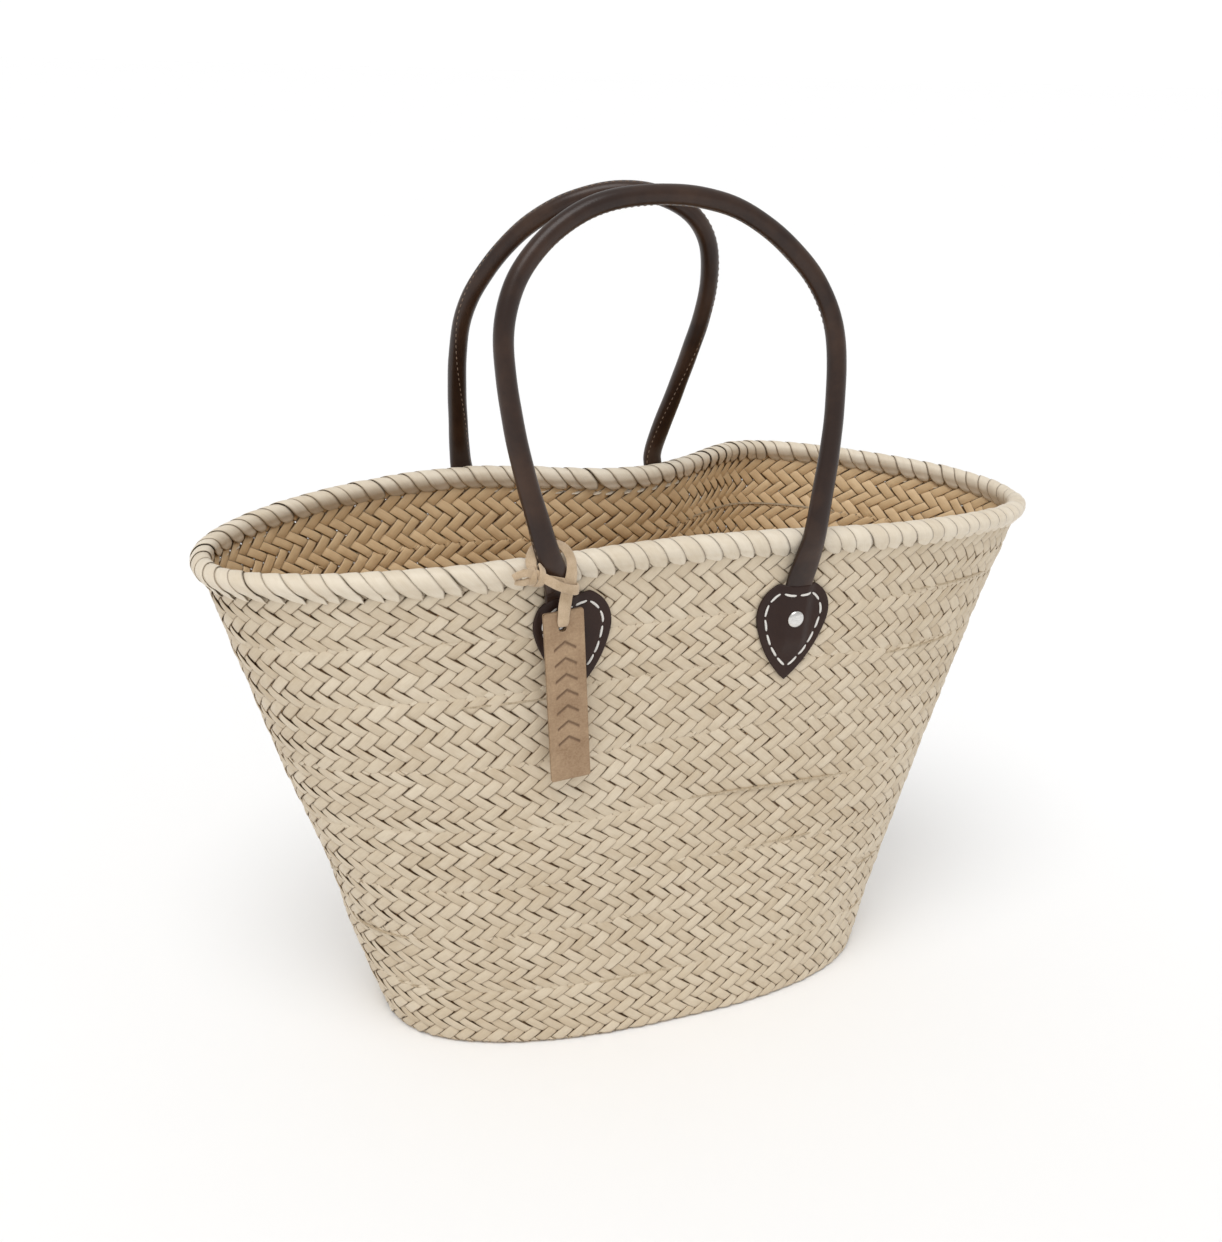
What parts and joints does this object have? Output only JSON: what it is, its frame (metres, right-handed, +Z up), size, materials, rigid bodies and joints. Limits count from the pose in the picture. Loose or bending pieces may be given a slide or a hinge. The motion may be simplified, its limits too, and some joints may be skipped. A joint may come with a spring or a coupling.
{
  "type": "woven market basket",
  "caption": "Open plaited palm-leaf market basket with an oval base, a wrapped rim, rolled leather carrying handles on stitched patches and a hang tag.",
  "frame": {"origin": "middle of the base, on the surface that the basket stands on", "axes": "+X along the basket's long axis, +Z up, the front wall with the hang tag faces -Y"},
  "size_m": [0.5291, 0.2308, 0.5093],
  "materials": {
    "palm": "dry plaited palm leaf",
    "palm_rim": "dry wrapped palm leaf",
    "palm_cord": "twisted palm fibre",
    "handle_leather": "waxed dark brown",
    "patch_leather": "satin dark brown",
    "thread": "waxed white thread",
    "seam_thread": "brown thread",
    "rope": "twisted rope",
    "rivet_metal": "nickel plated",
    "tag_leather": "natural vegetable tanned",
    "lace_suede": "split suede"
  },
  "bodies": {
    "basket": {"base_centre": "palm", "base_outer_turn": "palm", "wall_turn_1": "palm", "wall_turn_2": "palm", "wall_turn_3": "palm", "wall_turn_4": "palm", "wall_turn_5": "palm", "wall_turn_6": "palm", "wall_turn_7": "palm", "wall_turn_8": "palm", "lacing_cord": "palm_cord", "rim_core": "palm_cord", "rim_binding": "palm_rim", "front_left_handle_end": "handle_leather", "front_left_patch": "patch_leather", "front_left_patch_stitches": "thread", "front_right_handle_end": "handle_leather", "front_right_patch": "patch_leather", "front_right_patch_stitches": "thread", "rear_left_handle_end": "handle_leather", "rear_left_patch": "patch_leather", "rear_left_patch_stitches": "thread", "rear_right_handle_end": "handle_leather", "rear_right_patch": "patch_leather", "rear_right_patch_stitches": "thread", "rivets": "rivet_metal", "rivet_backs": "rivet_metal", "tag_lace_loop": "lace_suede", "tag_lace_knot": "lace_suede"},
    "front_handle": {"front_handle_leather": "handle_leather", "front_handle_core": "rope", "front_handle_seam": "seam_thread"},
    "rear_handle": {"rear_handle_leather": "handle_leather", "rear_handle_core": "rope", "rear_handle_seam": "seam_thread"},
    "hang_tag": {"hang_tag": "tag_leather", "tag_lace_drop": "lace_suede"}
  },
  "joints": [
    {"name": "front_handle_fold", "type": "hinge", "parent": "basket", "child": "front_handle", "pos_m": [-0.01683, -0.09893, 0.334], "axis": [1, 0.0063, 0], "range_deg": [-12, 105]},
    {"name": "rear_handle_fold", "type": "hinge", "parent": "basket", "child": "rear_handle", "pos_m": [-0.02572, 0.08368, 0.334], "axis": [-0.978, 0.2087, 0], "range_deg": [-4, 112]},
    {"name": "hang_tag_swing", "type": "hinge", "parent": "basket", "child": "hang_tag", "pos_m": [-0.086, -0.098, 0.303], "axis": [-1, 0, 0], "range_deg": [0, 35]}
  ]
}
